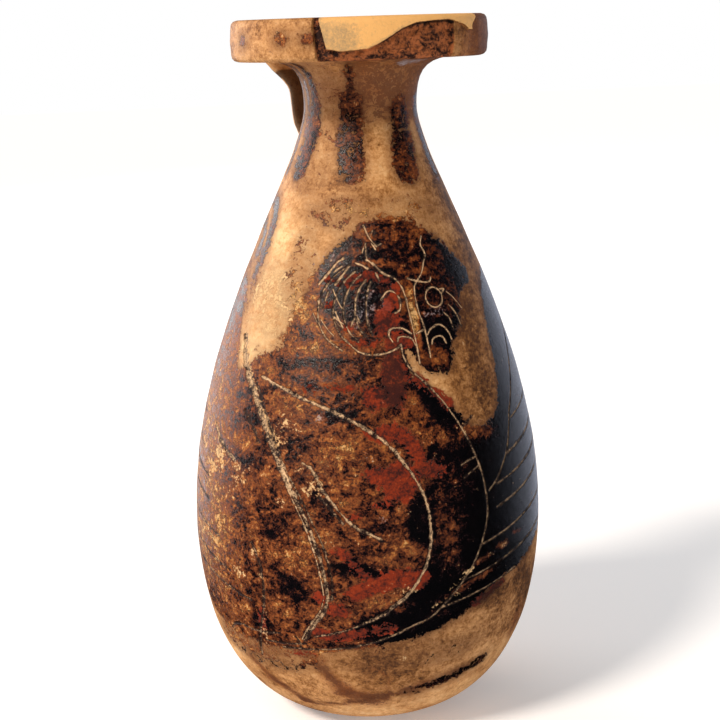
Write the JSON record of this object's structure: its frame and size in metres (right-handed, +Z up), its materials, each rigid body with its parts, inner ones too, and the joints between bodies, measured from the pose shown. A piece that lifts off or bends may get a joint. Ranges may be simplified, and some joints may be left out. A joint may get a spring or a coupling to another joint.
{
  "type": "aryballos",
  "caption": "Pear-shaped clay oil flask with a flat disc mouth, a narrow neck and a small strap handle, painted and incised.",
  "frame": {"origin": "centre of the foot, on the surface that the flask stands on", "axes": "+Z up along the axis of the wheel, +Y towards the handle, -Y towards the painted face"},
  "size_m": [0.0452, 0.0452, 0.0892],
  "materials": {
    "painted_clay": "satin"
  },
  "bodies": {
    "root": {"vessel": "painted_clay"}
  },
  "joints": []
}
